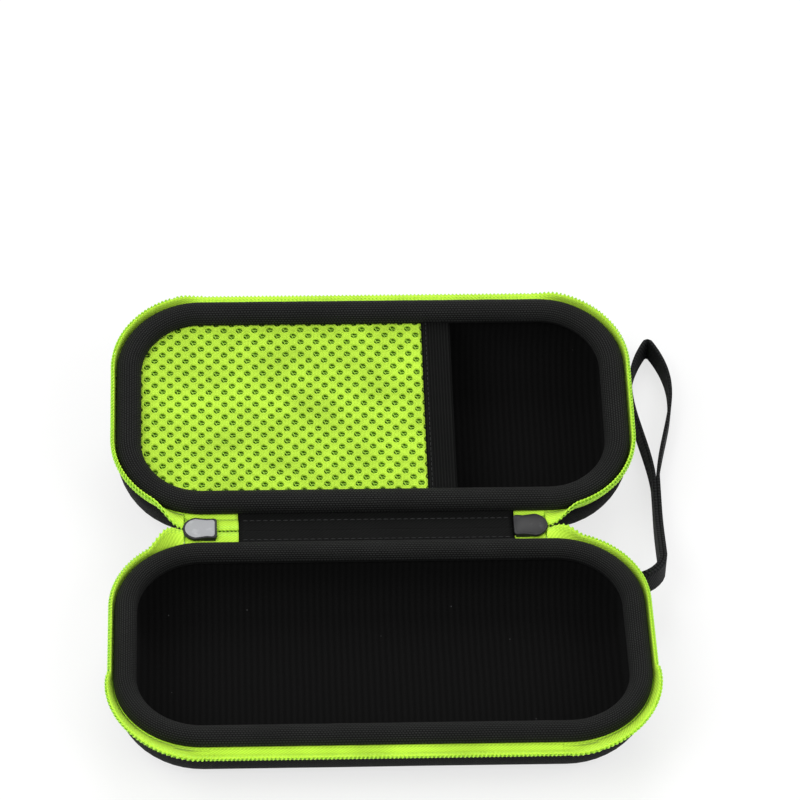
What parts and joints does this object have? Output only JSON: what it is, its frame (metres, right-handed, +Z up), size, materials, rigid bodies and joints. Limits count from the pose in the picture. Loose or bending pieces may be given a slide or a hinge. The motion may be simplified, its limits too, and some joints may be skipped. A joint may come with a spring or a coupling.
{
  "type": "zip hard case",
  "caption": "Soft-lined hard case for an electric shaver: two moulded half shells, a bright coil zip all round, net pocket, elastic divider and wrist strap.",
  "frame": {"origin": "centre of the open case's outline on the table it lies on", "axes": "+X along the hinge, towards the wrist strap's side; +Y from the front of the base to the lid; +Z up, shortest extent"},
  "size_m": [0.2225, 0.2272, 0.0453],
  "materials": {
    "nylon_shell": "matt ballistic weave",
    "eva_foam": "matt closed-cell foam",
    "velvet": "short pile",
    "rim_nylon": "matt weave over padding",
    "lime_tape": "woven twill",
    "lime_coil": "satin filament",
    "lime_mesh": "knitted net",
    "black_elastic": "ribbed",
    "black_ribbon": "twill",
    "zinc_grey": "satin enamel",
    "zinc_black": "satin enamel",
    "black_webbing": "woven webbing"
  },
  "bodies": {
    "base": {"base_cover": "nylon_shell", "base_foam": "eva_foam", "base_lining": "velvet", "base_rim_band": "rim_nylon", "base_tape": "lime_tape", "base_coil": "lime_coil", "base_corner_tapes": "lime_tape", "base_corner_coils": "lime_coil", "strap_tab": "black_webbing"},
    "spine": {"hinge_ribbon": "black_ribbon", "hinge_strip": "nylon_shell", "stub_tapes": "lime_tape", "stub_coils": "lime_coil"},
    "lid": {"lid_cover": "nylon_shell", "lid_foam": "eva_foam", "lid_lining": "velvet", "lid_rim_band": "rim_nylon", "lid_tape": "lime_tape", "lid_coil": "lime_coil", "lid_corner_tapes": "lime_tape", "lid_corner_coils": "lime_coil", "mesh_pocket": "lime_mesh", "pocket_elastic": "black_elastic"},
    "base_front": {"base_front_tape": "lime_tape", "base_front_coil": "lime_coil"},
    "lid_front": {"lid_front_tape": "lime_tape", "lid_front_coil": "lime_coil"},
    "slider_left": {"slider_left": "zinc_grey"},
    "slider_right": {"slider_right": "zinc_black"},
    "pull_left": {"pull_wire_left": "zinc_black", "pull_tab_left": "black_webbing"},
    "pull_right": {"pull_wire_right": "zinc_black", "pull_tab_right": "black_webbing"},
    "strap": {"wrist_strap": "black_webbing"}
  },
  "joints": [
    {"name": "fold", "type": "hinge", "parent": "base", "child": "spine", "pos_m": [0, -0.00829, 0.023], "axis": [1, 0, 0], "range_deg": [0, 91.8], "deforming": ["base_corner_tapes", "base_corner_coils"]},
    {"name": "lid_fold", "type": "hinge", "parent": "spine", "child": "lid", "pos_m": [0, 0.0045, 0.0226], "axis": [1, 0, 0], "range_deg": [0, 78.21], "deforming": ["lid_corner_tapes", "lid_corner_coils"]},
    {"name": "base_flap", "type": "hinge", "parent": "base", "child": "base_front", "pos_m": [0, -0.10689, 0.023], "axis": [-1, 0, 0], "range_deg": [0, 65.01], "deforming": ["base_corner_tapes", "base_corner_coils"]},
    {"name": "lid_flap", "type": "hinge", "parent": "lid", "child": "lid_front", "pos_m": [0, 0.1016, 0.03972], "axis": [1, 0, 0], "range_deg": [0, 65.01], "deforming": ["lid_corner_tapes", "lid_corner_coils"]},
    {"name": "zip_left", "type": "slide", "parent": "spine", "child": "slider_left", "axis": [1, 0, 0], "range_m": [0, 0.0085], "deforming": ["stub_coils"]},
    {"name": "zip_right", "type": "slide", "parent": "spine", "child": "slider_right", "axis": [1, 0, 0], "range_m": [0, 0.0085], "deforming": ["base_corner_tapes", "base_corner_coils", "lid_corner_tapes", "lid_corner_coils"]},
    {"name": "pull_left", "type": "hinge", "parent": "slider_left", "child": "pull_left", "pos_m": [-0.07592, -0.00201, 0.01905], "axis": [0, 0.9995, -0.0314], "range_deg": [0, 170]},
    {"name": "pull_right", "type": "hinge", "parent": "slider_right", "child": "pull_right", "pos_m": [0.04838, -0.00201, 0.01905], "axis": [0, -0.9995, 0.0314], "range_deg": [0, 170]},
    {"name": "strap_swing", "type": "hinge", "parent": "base", "child": "strap", "pos_m": [0.0922, -0.02257, 0.01], "axis": [0, 0, 1], "range_deg": [-85, 0]}
  ],
  "couplings": [
    {"joint": "lid_fold", "follows": "fold", "ratio": 0.8519},
    {"joint": "base_flap", "follows": "fold", "ratio": 0.708},
    {"joint": "lid_flap", "follows": "fold", "ratio": 0.708}
  ]
}
